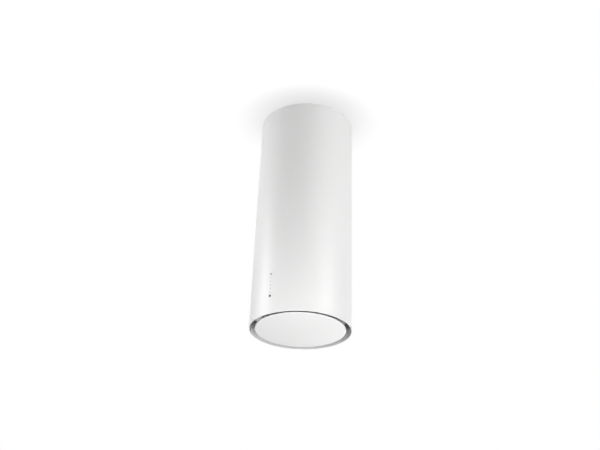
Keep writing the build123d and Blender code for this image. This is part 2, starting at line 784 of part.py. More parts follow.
def panel_screw():
    bottom = panel_bottom + PANEL_SCREW_SINK
    return disc(PANEL_SCREW_DIAMETER / 2, bottom, bottom + PANEL_SCREW_LENGTH)


def strike_plates():
    plate = Pos(CATCH_SPACING / 2, catch_y, 0) * disc(STRIKE_DIAMETER / 2, pan_top, strike_top)
    return mirrored_pair(plate)


def catch_brackets():
    x_range = (catch_inner_x, catch_outer_x)
    foot_end = catch_y + CATCH_WIDTH / 2
    bracket = block(x_range, (-catch_far, -catch_near), (catch_foot_z, deck_bottom))
    bracket += block(x_range, (-catch_far, foot_end), (catch_foot_z, catch_foot_z + CATCH_SHEET))
    return mirrored_pair(bracket)


def catch_magnets():
    magnet = disc(MAGNET_DIAMETER / 2, strike_top + SEAT_GAP, catch_foot_z)
    return mirrored_pair(Pos(CATCH_SPACING / 2, catch_y, 0) * magnet)


def outlet_collar():
    collar = tube(collar_outer, collar_inner, lid_top, collar_top)
    collar += tube(collar_flange_radius, collar_inner, lid_top, lid_top + COLLAR_FLANGE_SHEET)
    collar += tube(collar_outer, collar_inner - LEDGE_WIDTH, ledge_top - LEDGE_HEIGHT, ledge_top)
    for x, y in outlet_screw_points():
        collar -= screw_hole(x, y, lid_top, lid_top + COLLAR_FLANGE_SHEET)
    pin_hole_radius = DAMPER_PIN_DIAMETER / 2 + PIN_GAP
    return collar - damper_rod(pin_hole_radius, -collar_outer - CUT, collar_outer + CUT)


def damper_rod(radius, x_start, x_end):
    """Round bar on the flaps' axis."""
    return rod(radius, (x_start, 0, flap_axis_z), (x_end, 0, flap_axis_z))


def damper_pin():
    reach = collar_outer - PIN_GAP
    return damper_rod(DAMPER_PIN_DIAMETER / 2, -reach, reach)


def damper_flap(side):
    """Half-round flap, at the rear for side 1 and at the front for side -1."""
    radius = collar_inner - FLAP_GAP
    flap = disc(radius, flap_bottom, flap_bottom + FLAP_SHEET)
    flap &= block((-radius, radius), (side * FLAP_INNER_EDGE, side * radius), (flap_bottom, collar_top))
    length = FLAP_KNUCKLE_SPAN / FLAP_KNUCKLE_COUNT
    first = 0 if side == 1 else 1
    for index in range(first, FLAP_KNUCKLE_COUNT, 2):
        x_start = -FLAP_KNUCKLE_SPAN / 2 + length * index
        x_end = x_start + length - SLIP_GAP
        y_range = (0, side * FLAP_INNER_EDGE)
        flap += block((x_start, x_end), y_range, (flap_bottom, flap_bottom + FLAP_SHEET))
        flap += damper_rod(FLAP_KNUCKLE_DIAMETER / 2, x_start, x_end)
    return flap - damper_rod(DAMPER_PIN_DIAMETER / 2 + PIN_GAP, -radius, radius)


def scroll_outline():
    """Inside of the scroll in the YZ plane, from its outlet round to its tongue."""
    low_centre = (scroll_y, scroll_z - SCROLL_STEP)
    left_centre = (scroll_y - SCROLL_STEP, scroll_z - SCROLL_STEP)
    tongue = (left_centre[0], left_centre[1] + scroll_least_radius)
    outer_wall = Line((SCROLL_OUTLET_HALF, can_top), (SCROLL_OUTLET_HALF, scroll_z))
    bottom_turn = CenterArc((scroll_y, scroll_z), scroll_radius, 0, -90)
    left_turn = CenterArc(low_centre, scroll_middle_radius, -90, -90)
    top_turn = CenterArc(left_centre, scroll_least_radius, -180, -90)
    tongue_wall = Line(tongue, (tongue[0], can_top))
    mouth = Line((tongue[0], can_top), (SCROLL_OUTLET_HALF, can_top))
    face = make_face([outer_wall, bottom_turn, left_turn, top_turn, tongue_wall, mouth])
    corner = face.vertices().sort_by_distance((tongue[0], tongue[1], 0))[0]
    return fillet(corner, TONGUE_ROUND)


def scroll_prism(face, x_start, x_end):
    """A face in the YZ plane, carried from one X to another."""
    return Pos(x_start, 0, 0) * (Plane.YZ * extrude(face, x_end - x_start))


def scroll_wrap():
    inside = scroll_outline()
    outside = offset(inside, SCROLL_SHEET)
    wrap = scroll_prism(outside - inside, -SCROLL_HALF_WIDTH, SCROLL_HALF_WIDTH)
    flange_x = SCROLL_HALF_WIDTH + SCROLL_FLANGE_WIDTH
    flange_y = SCROLL_OUTLET_HALF + SCROLL_FLANGE_WIDTH
    flange_z = (can_top - SCROLL_FLANGE_SHEET, can_top)
    flange = block((-flange_x, flange_x), (-flange_y, flange_y), flange_z)
    above = block((-flange_x, flange_x), (-flange_y, flange_y), (can_top, can_top + 2 * SCROLL_SHEET))
    passage = scroll_prism(inside, -SCROLL_HALF_WIDTH, SCROLL_HALF_WIDTH)
    wrap = wrap + (flange - passage) - above
    for x, y in outlet_screw_points():
        wrap -= screw_hole(x, y, can_top - SCROLL_FLANGE_SHEET, can_top)
    return wrap


def scroll_side(side):
    """Side wall of the scroll with its round inlet, at the right for side 1."""
    face = offset(scroll_outline(), SCROLL_SHEET + SCROLL_HEM)
    plate = scroll_prism(face, side * SCROLL_HALF_WIDTH, side * scroll_side_x)
    top = can_top - SCROLL_FLANGE_SHEET
    reach = 2 * can_outer
    plate -= block((-reach, reach), (-reach, reach), (top, top + SCROLL_OUTLET_RISE))
    lip_end = scroll_side_x + INLET_LIP
    plate += fan_rod(lip_radius, side * SCROLL_HALF_WIDTH, side * lip_end)
    plate -= fan_rod(inlet_radius, side * (SCROLL_HALF_WIDTH - CUT), side * (lip_end + CUT))
    if side == 1:
        for point in bracket_foot_points():
            plate -= foot_screw_hole(point)
    return plate


def bracket_foot_points():
    """Y and Z of the feet of the motor bracket."""
    radius = bracket_reach - BRACKET_LEG
    places = [on_circle(radius, angle) for angle in round_angles(BRACKET_ARM_COUNT)]
    return [(fan_y + y, fan_z + z) for y, z in places]


def foot_screw_hole(point):
    """Cutter along X for a screw at a foot of the motor bracket."""
    y, z = point
    radius = SCREW_DIAMETER / 2 + SCREW_GAP
    return rod(radius, (SCROLL_HALF_WIDTH - CUT, y, z), (cap_end + BRACKET_SHEET + CUT, y, z))


def impeller_blade(half):
    """Curved blade beside the fan's axis, a little inside the faces of the end rings."""
    bend_y = fan_y + (blade_start + impeller_radius) / 2
    bend = Pos(0, bend_y, fan_z + BLADE_RADIUS) * Rot(0, 90, 0)
    length = 2 * (half - BLADE_INSET)
    curl = bend * Cylinder(BLADE_RADIUS, length) - bend * Cylinder(BLADE_RADIUS - BLADE_SHEET, length)
    sweep = fan_ring(impeller_radius - BLADE_INSET, blade_start + BLADE_INSET, -half, half)
    low = block((-half, half), (fan_y, bend_y + BLADE_RADIUS), (fan_z - BLADE_RADIUS, fan_z + BLADE_RADIUS))
    return curl & sweep & low


def impeller():
    half = SCROLL_HALF_WIDTH - IMPELLER_SIDE_GAP
    hub_start = IMPELLER_DISC / 2 - IMPELLER_HUB_LENGTH
    wheel = fan_rod(impeller_radius, -IMPELLER_DISC / 2, IMPELLER_DISC / 2)
    wheel += fan_rod(IMPELLER_HUB_DIAMETER / 2, hub_start, IMPELLER_DISC / 2)
    for side in (-1, 1):
        wheel += fan_ring(impeller_radius, blade_start, side * (half - IMPELLER_RING), side * half)
    blade = impeller_blade(half)
    hub_line = Axis((0, fan_y, fan_z), (1, 0, 0))
    wheel = wheel + [blade.rotate(hub_line, angle) for angle in round_angles(BLADE_COUNT)]
    return wheel - fan_rod(SHAFT_DIAMETER / 2 + PIN_GAP, hub_start - CUT, IMPELLER_DISC)


def motor_shaft():
    return fan_rod(SHAFT_DIAMETER / 2, shaft_start, shaft_end)


def rotor_core():
    return fan_ring(stator_inner - ROTOR_GAP, SHAFT_DIAMETER / 2 + PIN_GAP, core_start, core_end)


def stator_core():
    return fan_ring(stator_outer - PIN_GAP, stator_inner, core_start, core_end)


def motor_case():
    case = fan_ring(MOTOR_DIAMETER / 2, stator_outer, motor_start, motor_end)
    case += fan_rod(MOTOR_DIAMETER / 2, motor_start, front_bearing_start)
    seat = BEARING_DIAMETER / 2 + PIN_GAP
    bearing_end = front_bearing_start + BEARING_WIDTH
    case += fan_ring(seat + BEARING_SEAT_WALL, seat, front_bearing_start, bearing_end)
    return case - fan_rod(SHAFT_DIAMETER / 2 + SLIP_GAP, motor_start - CUT, front_bearing_start + CUT)


def motor_end_cap():
    cap = fan_rod(MOTOR_DIAMETER / 2, motor_end, cap_end)
    seat = BEARING_DIAMETER / 2 + PIN_GAP
    cap += fan_ring(seat + BEARING_SEAT_WALL, seat, rear_bearing_start, motor_end)
    for hole in cap_screw_holes():
        cap -= hole
    return cap


def cap_screw_points():
    """Y and Z of the screws between the motor and its bracket, between the bracket's arms."""
    places = [on_circle(MOTOR_SCREW_CIRCLE / 2, angle) for angle in staggered_angles(BRACKET_ARM_COUNT)]
    return [(fan_y + y, fan_z + z) for y, z in places]


def cap_screw_holes():
    """Cutters along X for the screws between the motor and its bracket."""
    radius = SCREW_DIAMETER / 2 + SCREW_GAP
    ends = (motor_end - CUT, cap_end + BRACKET_SHEET + CUT)
    return [rod(radius, (ends[0], y, z), (ends[1], y, z)) for y, z in cap_screw_points()]


def motor_bearings():
    outer = BEARING_DIAMETER / 2
    inner = SHAFT_DIAMETER / 2 + PIN_GAP
    starts = (front_bearing_start, rear_bearing_start)
    return [fan_ring(outer, inner, start, start + BEARING_WIDTH) for start in starts]


def motor_bracket():
    end = cap_end + BRACKET_SHEET
    half = BRACKET_ARM_WIDTH / 2
    hub_line = Axis((0, fan_y, fan_z), (1, 0, 0))
    arm_y = (fan_y, fan_y + bracket_reach)
    leg_y = (fan_y + bracket_reach - 2 * BRACKET_LEG, fan_y + bracket_reach)
    z_range = (fan_z - half, fan_z + half)
    arm = block((cap_end, end), arm_y, z_range) + block((scroll_side_x, end), leg_y, z_range)
    bracket = fan_rod(MOTOR_DIAMETER / 2, cap_end, end)
    for angle in round_angles(BRACKET_ARM_COUNT):
        bracket += arm.rotate(hub_line, angle)
    bracket -= fan_rod(BRACKET_HOLE_DIAMETER / 2, cap_end - CUT, end + CUT)
    bracket -= cap_screw_holes()
    return bracket - [foot_screw_hole(point) for point in bracket_foot_points()]


def motor_screws():
    end = cap_end + BRACKET_SHEET
    cap_length = END_CAP_SHEET + BRACKET_SHEET
    foot_length = end - SCROLL_HALF_WIDTH
    screws = []
    for points, length in ((cap_screw_points(), cap_length), (bracket_foot_points(), foot_length)):
        bolt = screw(SCREW_DIAMETER, SCREW_HEAD_DIAMETER, SCREW_HEAD_HEIGHT, length)
        screws += [Plane(origin=(end, y, z), z_dir=(1, 0, 0)) * bolt for y, z in points]
    return screws


def board_post_points():
    """Places of the posts under the control board."""
    x_inset = BOX_DEPTH / 2 - BOX_WALL - BOARD_POST_DIAMETER / 2 - BOARD_MARGIN
    y_inset = BOX_WIDTH / 2 - BOX_WALL - BOARD_POST_DIAMETER / 2 - BOARD_MARGIN
    return [(box_mid_x + x * x_inset, y * y_inset) for x in (-1, 1) for y in (-1, 1)]


def control_box():
    half = BOX_WIDTH / 2
    box = block((box_outer_x, box_inner_x), (-half, half), (lid_top, box_top))
    inner_x = (box_outer_x + BOX_WALL, box_inner_x - BOX_WALL)
    inner_y = (-half + BOX_WALL, half - BOX_WALL)
    box -= block(inner_x, inner_y, (box_floor, box_top))
    for x, y in board_post_points():
        box += upright_rod(BOARD_POST_DIAMETER / 2, x, y, lid_top, board_bottom)
    return box


def control_box_lid():
    half = BOX_WIDTH / 2
    lid = block((box_outer_x, box_inner_x), (-half, half), (box_top, box_top + BOX_LID_SHEET))
    inset = BOX_WALL + SEAT_GAP
    inner_x = (box_outer_x + inset, box_inner_x - inset)
    inner_y = (-half + inset, half - inset)
    lip = block(inner_x, inner_y, (box_top - BOX_LID_SHEET, box_top))
    lip -= block(
        (inner_x[0] + BOX_WALL, inner_x[1] - BOX_WALL),
        (inner_y[0] + BOX_WALL, inner_y[1] - BOX_WALL),
        (box_top - BOX_LID_SHEET, box_top),
    )
    hole = upright_hole(GLAND_DIAMETER, box_mid_x, gland_y, box_top, box_top + BOX_LID_SHEET)
    return lid + lip - hole


def control_board():
    inset = BOX_WALL + BOARD_MARGIN
    half = BOX_WIDTH / 2 - inset
    x_range = (box_outer_x + inset, box_inner_x - inset)
    return block(x_range, (-half, half), (board_bottom, board_bottom + BOARD_THICKNESS))


def led_driver():
    bottom = board_bottom + BOARD_THICKNESS
    half = DRIVER_WIDTH / 2
    y_start = -BOX_WIDTH / 2 + BOX_WALL + 2 * BOARD_MARGIN
    x_range = (box_mid_x - half, box_mid_x + half)
    return block(x_range, (y_start, y_start + DRIVER_LENGTH), (bottom, bottom + DRIVER_HEIGHT))


def mains_gland():
    seat = box_top + BOX_LID_SHEET
    top = seat + GLAND_LENGTH
    bottom = box_top - BOX_LID_SHEET
    gland = upright_rod(GLAND_FLANGE_DIAMETER / 2, box_mid_x, gland_y, seat, seat + GLAND_FLANGE_HEIGHT)
    gland += upright_rod(GLAND_DIAMETER / 2 - SEAT_GAP, box_mid_x, gland_y, bottom, top)
    return gland - upright_hole(GLAND_BORE_DIAMETER, box_mid_x, gland_y, bottom, top)


def push_key(index):
    z = key_heights[index]
    radius = key_radius(index)
    cap = rod(radius, (0, key_front_y, z), (0, key_flange_y, z))
    cap = fillet(cap.edges().sort_by(Axis.Y)[0], KEY_EDGE_ROUND)
    cap += rod(radius + KEY_FLANGE_MARGIN, (0, key_flange_y, z), (0, key_stem_y, z))
    return cap + rod(KEY_STEM_DIAMETER / 2, (0, key_stem_y, z), (0, stem_end_y, z))


def keypad_housing():
    half = KEYPAD_WIDTH / 2
    z_range = (keypad_bottom, keypad_top)
    inner_z = (keypad_bottom + KEYPAD_WALL, keypad_top - KEYPAD_WALL)
    inner_x = (-half + KEYPAD_WALL, half - KEYPAD_WALL)
    housing = block((-half, half), (-shell_outer, keypad_back_y), z_range)
    housing -= block(inner_x, (keypad_wall_y, keypad_back_y), inner_z)
    for z in stud_heights:
        housing += rod(STUD_BOSS_DIAMETER / 2, (0, keypad_wall_y, z), (0, board_front_y, z))
    housing &= disc(shell_inner - SHELL_SEAT_GAP, keypad_bottom, keypad_top)
    for index, z in enumerate(key_heights):
        pocket = key_radius(index) + KEY_FLANGE_MARGIN + KEY_GAP
        housing -= rod(pocket, (0, -shell_outer, z), (0, keypad_pocket_y, z))
        housing -= rod(KEY_STEM_DIAMETER / 2 + KEY_GAP, (0, -shell_outer, z), (0, keypad_back_y, z))
    for z in stud_heights:
        housing -= rod(STUD_DIAMETER / 2 + SCREW_GAP, (0, -shell_outer, z), (0, keypad_back_y, z))
    return housing


def keypad_board():
    half = KEYPAD_WIDTH / 2 - KEYPAD_WALL - SEAT_GAP
    bottom = keypad_bottom + KEYPAD_WALL + SEAT_GAP
    top = keypad_top - KEYPAD_WALL - SEAT_GAP
    board = block((-half, half), (board_front_y, board_back_y), (bottom, top))
    for z in stud_heights:
        hole_radius = STUD_DIAMETER / 2 + SCREW_GAP
        board -= rod(hole_radius, (0, board_front_y - CUT, z), (0, board_back_y + CUT, z))
    return board


def keypad_switches():
    half = SWITCH_SIZE / 2
    switches = []
    for z in key_heights:
        switch = block((-half, half), (switch_y, board_front_y), (z - half, z + half))
        switches.append(switch + rod(PLUNGER_DIAMETER / 2, (0, plunger_y, z), (0, switch_y, z)))
    return switches


def keypad_nuts():
    nuts = []
    for z in stud_heights:
        seat = Plane(origin=(0, board_back_y, z), z_dir=(0, 1, 0))
        nut = extrude(RegularPolygon(NUT_WIDTH / 2, HEX_SIDES, major_radius=False), NUT_HEIGHT)
        nut -= Cylinder(STUD_DIAMETER / 2 + PIN_GAP, 2 * (NUT_HEIGHT + CUT))
        nuts.append(seat * nut)
    return nuts


pieces = {
    "ceiling_plate": ceiling_plate(),
    "frame_screws": frame_screws(),
    "outer_shell": outer_shell(),
    "shell_brackets": shell_brackets(),
    "blower_can": blower_can(),
    "can_lid": can_lid(),
    "lid_screws": lid_screws(),
    "filter_deck": filter_deck(),
    "deck_screws": deck_screws(),
    "filter_frame": filter_frame(),
    "filter_mesh": filter_mesh(),
    "filter_latch": filter_latch(),
    "led_channel": led_channel(),
    "led_strip": led_strip(),
    "led_diffuser": led_diffuser(),
    "hinge_arms": hinge_arms(),
    "hinge_brackets": hinge_brackets(),
    "hinge_pins": hinge_pins(),
    "panel_face": panel_face(),
    "panel_pan": panel_pan(),
    "panel_screw": panel_screw(),
    "strike_plates": strike_plates(),
    "catch_brackets": catch_brackets(),
    "catch_magnets": catch_magnets(),
    "outlet_collar": outlet_collar(),
    "damper_pin": damper_pin(),
    "damper_flap_rear": damper_flap(1),
    "damper_flap_front": damper_flap(-1),
    "scroll_wrap": scroll_wrap(),
    "scroll_side_right": scroll_side(1),
    "scroll_side_left": scroll_side(-1),
    "impeller": impeller(),
    "motor_shaft": motor_shaft(),
    "rotor_core": rotor_core(),
    "stator_core": stator_core(),
    "motor_case": motor_case(),
    "motor_end_cap": motor_end_cap(),
    "motor_bearings": motor_bearings(),
    "motor_bracket": motor_bracket(),
    "motor_screws": motor_screws(),
    "control_box": control_box(),
    "control_box_lid": control_box_lid(),
    "control_board": control_board(),
    "led_driver": led_driver(),
    "mains_gland": mains_gland(),
    "keypad_housing": keypad_housing(),
    "keypad_board": keypad_board(),
    "keypad_switches": keypad_switches(),
    "keypad_nuts": keypad_nuts(),
}
for corner, angle in zip(RAIL_CORNERS, rail_angles()):
    pieces["frame_rail_" + corner] = frame_rail(angle)
for index, name in enumerate(KEY_NAMES):
    pieces[name] = push_key(index)

os.makedirs("parts", exist_ok=True)
for name, shape in pieces.items():
    whole = Compound(shape) if isinstance(shape, list) else shape
    export_step(whole, f"parts/{name}.step")
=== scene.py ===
import json
import math
from collections import namedtuple

import bpy
from bpy.props import FloatProperty, IntProperty, PointerProperty
from bpy.types import Operator, Panel, PropertyGroup
from mathutils import Matrix, Vector


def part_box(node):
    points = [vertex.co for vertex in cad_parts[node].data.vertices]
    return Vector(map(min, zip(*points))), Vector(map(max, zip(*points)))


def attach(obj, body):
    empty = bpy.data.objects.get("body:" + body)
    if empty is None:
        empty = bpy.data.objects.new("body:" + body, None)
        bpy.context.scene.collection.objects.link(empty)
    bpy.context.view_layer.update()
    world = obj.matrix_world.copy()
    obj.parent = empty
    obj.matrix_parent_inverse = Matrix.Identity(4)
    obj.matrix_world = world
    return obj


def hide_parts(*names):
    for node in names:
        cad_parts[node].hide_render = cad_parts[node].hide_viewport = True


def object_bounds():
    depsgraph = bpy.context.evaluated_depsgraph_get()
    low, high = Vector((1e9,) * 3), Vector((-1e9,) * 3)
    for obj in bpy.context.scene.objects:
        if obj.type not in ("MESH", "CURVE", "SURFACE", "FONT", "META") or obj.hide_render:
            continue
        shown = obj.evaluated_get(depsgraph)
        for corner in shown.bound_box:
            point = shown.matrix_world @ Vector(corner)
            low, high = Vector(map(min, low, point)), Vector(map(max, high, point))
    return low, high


bl_info = {
    "name": "Island Range Hood",
    "version": (1, 0, 0),
    "blender": (4, 5, 0),
    "location": "View3D > Sidebar > Hood",
    "description": "Finishes the packed island range hood and sets its stage",
    "category": "Object",
}

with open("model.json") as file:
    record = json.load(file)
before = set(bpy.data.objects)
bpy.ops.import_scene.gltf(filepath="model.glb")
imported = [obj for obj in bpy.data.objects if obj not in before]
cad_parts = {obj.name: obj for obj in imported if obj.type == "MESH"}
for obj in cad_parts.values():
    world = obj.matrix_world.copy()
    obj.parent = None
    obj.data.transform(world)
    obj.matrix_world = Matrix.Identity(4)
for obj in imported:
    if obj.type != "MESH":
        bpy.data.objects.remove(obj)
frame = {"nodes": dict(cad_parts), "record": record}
cad_low, cad_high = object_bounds()

# The keys from the lowest to the highest
KEYS = [
    "power_key",
    "speed_one_key",
    "speed_two_key",
    "speed_three_key",
    "speed_four_key",
    "timer_key",
    "light_key",
]
# Corners sharper than this are rounded
SHARP_CORNER = math.radians(60.0)
# Edges sharper than this stay crisp in smooth shading
CREASE = math.radians(35.0)
KEY_CREASE = math.radians(45.0)
# Facets of the small round forms and of the room's discs
KEY_FACETS = 48
STUD_FACETS = 24
SCREW_FACETS = 48
SOCKET_SIDES = 6
DISC_FACETS = 192
# Small roundings, as a share of the size that they belong to
STUD_ROUND = 1 / 6
SHEET_ROUND = 1 / 8
SCREW_ROUND = 1 / 8
# A point this share of a size away from an end still counts as on it
AT_THE_END = 1 / 10
# Least part of a face's normal along an axis for a face that looks that way, and for a flat one
LOOKS_ALONG = 0.9
LIES_FLAT = 0.999
# Rings of the finger dish, as shares of the cap's radius
DISH_RINGS = (0.2, 0.4)
# Turn that makes the square cells of the fine layer stand on a corner
DIAMOND_TURN = math.radians(45.0)
# Width of the camera's sensor in millimetres
SENSOR_WIDTH = 36.0
# How far down the rim's lamps aim, as a share of the hood's height
RIM_AIM = 0.83

# Lamps: width and height of the lamp, its angle from the camera's bearing in degrees, its distance from the
# axis, its level with the ceiling at 0, and whether it aims at the rim or at the middle
Lamp = namedtuple("Lamp", "name width height angle distance level at_rim")
LAMPS = [
    Lamp("left_lamp", width=0.4, height=0.8, angle=-85.0, distance=1.2, level=-0.3, at_rim=False),
    Lamp("right_lamp", width=0.5, height=0.9, angle=55.0, distance=1.4, level=-0.4, at_rim=False),
    Lamp("rear_lamp", width=0.4, height=0.8, angle=180.0, distance=1.4, level=-0.3, at_rim=False),
    Lamp("rim_lamp", width=0.6, height=0.6, angle=-20.0, distance=0.85, level=-1.28, at_rim=True),
    Lamp("low_right_lamp", width=0.6, height=0.6, angle=70.0, distance=0.9, level=-1.4, at_rim=True),
    Lamp("low_rear_lamp", width=0.6, height=0.6, angle=130.0, distance=0.9, level=-1.4, at_rim=True),
    Lamp("low_front_lamp", width=0.6, height=0.6, angle=0.0, distance=1.2, level=-1.9, at_rim=True),
]


class HoodShell(PropertyGroup):
    wall: FloatProperty(
        name="Wall", description="Thickness of the rolled sheet", default=0.0015, unit="LENGTH", precision=4
    )
    rim_round: FloatProperty(
        name="Rim round", description="Rounding of the rims", default=0.0006, unit="LENGTH", precision=4
    )
    key_gap: FloatProperty(
        name="Key gap", description="Gap between a key and its hole", default=0.0003, unit="LENGTH",
        precision=4
    )
    stud_radius: FloatProperty(
        name="Stud radius", description="Radius of the studs behind the keys", default=0.0015,
        unit="LENGTH", precision=4
    )
    stud_offset: FloatProperty(
        name="Stud offset", description="From an end key to its stud", default=0.008, unit="LENGTH",
        precision=4
    )
    stud_length: FloatProperty(
        name="Stud length", description="Length of a stud from the wall inwards", default=0.0128,
        unit="LENGTH", precision=4
    )
    segments: IntProperty(name="Segments", description="Facets round the shell", default=256, min=64)


class HoodPanel(PropertyGroup):
    sheet: FloatProperty(
        name="Sheet", description="Thickness of the pressed sheet", default=0.0015, unit="LENGTH",
        precision=4
    )
    edge_round: FloatProperty(
        name="Edge round", description="Radius of the soft lower edge", default=0.0025, unit="LENGTH",
        precision=4
    )
    screw_gap: FloatProperty(
        name="Screw gap", description="Gap round the middle screw", default=0.00015, unit="LENGTH",
        precision=5
    )
    socket_radius: FloatProperty(
        name="Socket radius", description="Radius of the screw's six-sided socket", default=0.0018,
        unit="LENGTH", precision=4
    )
    socket_depth: FloatProperty(
        name="Socket depth", description="Depth of the screw's socket", default=0.0018, unit="LENGTH",
        precision=4
    )


class HoodKeys(PropertyGroup):
    flange_margin: FloatProperty(
        name="Flange margin", description="How far the flange passes the cap", default=0.0012,
        unit="LENGTH", precision=4
    )
    flange_sheet: FloatProperty(
        name="Flange sheet", description="Thickness of the flange", default=0.0008, unit="LENGTH",
        precision=4
    )
    flange_depth: FloatProperty(
        name="Flange depth", description="From a key's front to its flange", default=0.0025, unit="LENGTH",
        precision=4
    )
    stem_radius: FloatProperty(
        name="Stem radius", description="Radius of the stem", default=0.0015, unit="LENGTH", precision=4
    )
    edge_round: FloatProperty(
        name="Edge round", description="Rounding of the cap's edge", default=0.0004, unit="LENGTH",
        precision=4
    )
    dish: FloatProperty(
        name="Dish", description="Depth of the finger dish", default=0.0002, unit="LENGTH", precision=4
    )


class HoodFilter(PropertyGroup):
    cell: FloatProperty(
        name="Cell", description="Width of a cell of the fine layer", default=0.0052, unit="LENGTH",
        precision=4
    )
    squeeze: FloatProperty(
        name="Squeeze", description="Height of a diamond as a share of its width", default=0.62, min=0.2,
        max=1.0
    )
    strand: FloatProperty(
        name="Strand", description="Thickness of a strand", default=0.0009, unit="LENGTH", precision=4
    )
    rise: FloatProperty(
        name="Rise", description="Middle of the fine layer above the cover sheet", default=0.0007,
        unit="LENGTH", precision=4
    )
    edge: FloatProperty(
        name="Edge", description="How far the fine layer stops inside the cover sheet", default=0.004,
        unit="LENGTH", precision=4
    )


class HoodStage(PropertyGroup):
    camera_bearing: FloatProperty(
        name="Camera bearing", description="Camera's place round the hood, from the front towards its right",
        default=math.radians(36.5), subtype="ANGLE"
    )
    camera_distance: FloatProperty(
        name="Camera distance", description="From the hood's axis", default=2.482, unit="LENGTH"
    )
    camera_drop: FloatProperty(
        name="Camera drop", description="How far the camera is below the ceiling", default=1.83,
        unit="LENGTH"
    )
    camera_pitch: FloatProperty(
        name="Camera pitch", description="How far the camera looks up", default=math.radians(29.5),
        subtype="ANGLE"
    )
    camera_pan: FloatProperty(
        name="Camera pan", description="How far the camera looks past the axis",
        default=math.radians(-0.33), subtype="ANGLE"
    )
    camera_roll: FloatProperty(
        name="Camera roll", description="Tilt of the picture", default=math.radians(2.09), subtype="ANGLE"
    )
    lens: FloatProperty(
        name="Lens", description="Focal length in millimetres", default=46.74, min=10.0, max=200.0
    )
    room_height: FloatProperty(
        name="Room height", description="From the floor to the ceiling", default=2.6, unit="LENGTH"
    )
    ceiling_radius: FloatProperty(
        name="Ceiling radius", description="Radius of the piece of ceiling", default=9.0, unit="LENGTH"
    )
    floor_radius: FloatProperty(
        name="Floor radius", description="Radius of the floor", default=9.0, unit="LENGTH"
    )
    room_shade: FloatProperty(
        name="Room shade", description="Brightness of the room's paint", default=0.82, min=0.0, max=1.0
    )
    # Painted shade: these contact settings set how the room's glow is dimmed near the hood
    contact_shade: FloatProperty(
        name="Contact shade", description="Brightness of a fully hidden spot of the room", default=0.63,
        min=0.0, max=1.0
    )
    contact_reach: FloatProperty(
        name="Contact reach", description="How far the hood shades the ceiling", default=0.11, unit="LENGTH"
    )
    contact_lean: FloatProperty(
        name="Contact lean", description="How far that shade leans towards the camera", default=1.6,
        min=0.0
    )
    left_lamp: FloatProperty(
        name="Left lamp", description="Power of the lamp at the left in watts", default=6.7, min=0.0
    )
    right_lamp: FloatProperty(
        name="Right lamp", description="Power of the lamp at the right in watts", default=7.9, min=0.0
    )
    rear_lamp: FloatProperty(
        name="Rear lamp", description="Power of the lamp behind the hood in watts", default=4.0, min=0.0
    )
    rim_lamp: FloatProperty(
        name="Rim lamp", description="Power of the lamp near the rim in watts", default=4.0, min=0.0
    )
    low_right_lamp: FloatProperty(
        name="Low right lamp", description="Power of the lamp below at the right in watts", default=1.8,
        min=0.0
    )
    low_rear_lamp: FloatProperty(
        name="Low rear lamp", description="Power of the lamp below at the rear in watts", default=6.6,
        min=0.0
    )
    low_front_lamp: FloatProperty(
        name="Low front lamp", description="Power of the lamp below at the front in watts", default=7.6,
        min=0.0
    )


# Modelling steps that the pieces share


def clear_selection():
    bpy.ops.object.select_all(action="DESELECT")


def make_active(piece):
    clear_selection()
    piece.select_set(True)
    bpy.context.view_layer.objects.active = piece


def settle(name):
    """Names the new piece and puts its place into its mesh."""
    piece = bpy.context.object
    piece.name = name
    piece.data.name = name
    bpy.ops.object.transform_apply(location=True, rotation=True, scale=True)
    return piece


def add_round(name, radius, depth, centre, segments, along_y=False, ends="NGON"):
    """Round bar or tube, upright or from front to back."""
    clear_selection()
    turn = (math.pi / 2, 0.0, 0.0) if along_y else (0.0, 0.0, 0.0)
    bpy.ops.mesh.primitive_cylinder_add(
        vertices=segments, radius=radius, depth=depth, end_fill_type=ends, location=centre, rotation=turn
    )
    return settle(name)


def pick(piece, kind, group, test):
    """Goes into edit mode with just the faces or edges selected that pass a test."""
    make_active(piece)
    bpy.ops.object.mode_set(mode="EDIT")
    bpy.ops.mesh.select_mode(type=kind)
    bpy.ops.mesh.select_all(action="DESELECT")
    leave_edit()
    items = getattr(piece.data, group)
    for item in items:
        item.select = test(item)
    if not any(item.select for item in items):
        raise RuntimeError(f"nothing to shape on {piece.name}")
    bpy.ops.object.mode_set(mode="EDIT")


def pick_faces(piece, test):
    pick(piece, "FACE", "polygons", test)


def pick_edges(piece, test):
    """Picks the edges whose two ends pass a test."""
    def both_ends(edge):
        return all(test(piece.data.vertices[index].co) for index in edge.vertices)

    pick(piece, "EDGE", "edges", both_ends)


def leave_edit():
    bpy.ops.object.mode_set(mode="OBJECT")


def apply_modifier(piece, kind, **settings):
    make_active(piece)
    modifier = piece.modifiers.new(kind.title(), kind)
    for key, value in settings.items():
        setattr(modifier, key, value)
    bpy.ops.object.modifier_apply(modifier=modifier.name)


def cut_away(piece, cutter):
    before = len(piece.data.vertices)
    apply_modifier(piece, "BOOLEAN", operation="DIFFERENCE", object=cutter, solver="EXACT")
    bpy.data.objects.remove(cutter)
    if len(piece.data.vertices) <= before:
        raise RuntimeError(f"nothing was cut from {piece.name}")


def copy_up(piece, name, rise):
    """Copy of a finished piece with its own mesh, further up."""
    make_active(piece)
    bpy.ops.object.duplicate()
    bpy.ops.transform.translate(value=(0, 0, rise))
    return settle(name)


def smooth(piece, angle=CREASE):
    """Smooth shading with crisp corners, led by the large faces."""
    make_active(piece)
    bpy.ops.object.shade_smooth_by_angle(angle=angle)
    apply_modifier(piece, "WEIGHTED_NORMAL", keep_sharp=True)


def hand_over(piece, body, slot, *nodes):
    """Gives a finished piece its body, its finish and the nodes that it stands for."""
    piece.data.materials.clear()
    piece.data.materials.append(bpy.data.materials[finish_name(slot)])
    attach(piece, body)
    if nodes:
        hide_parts(*nodes)


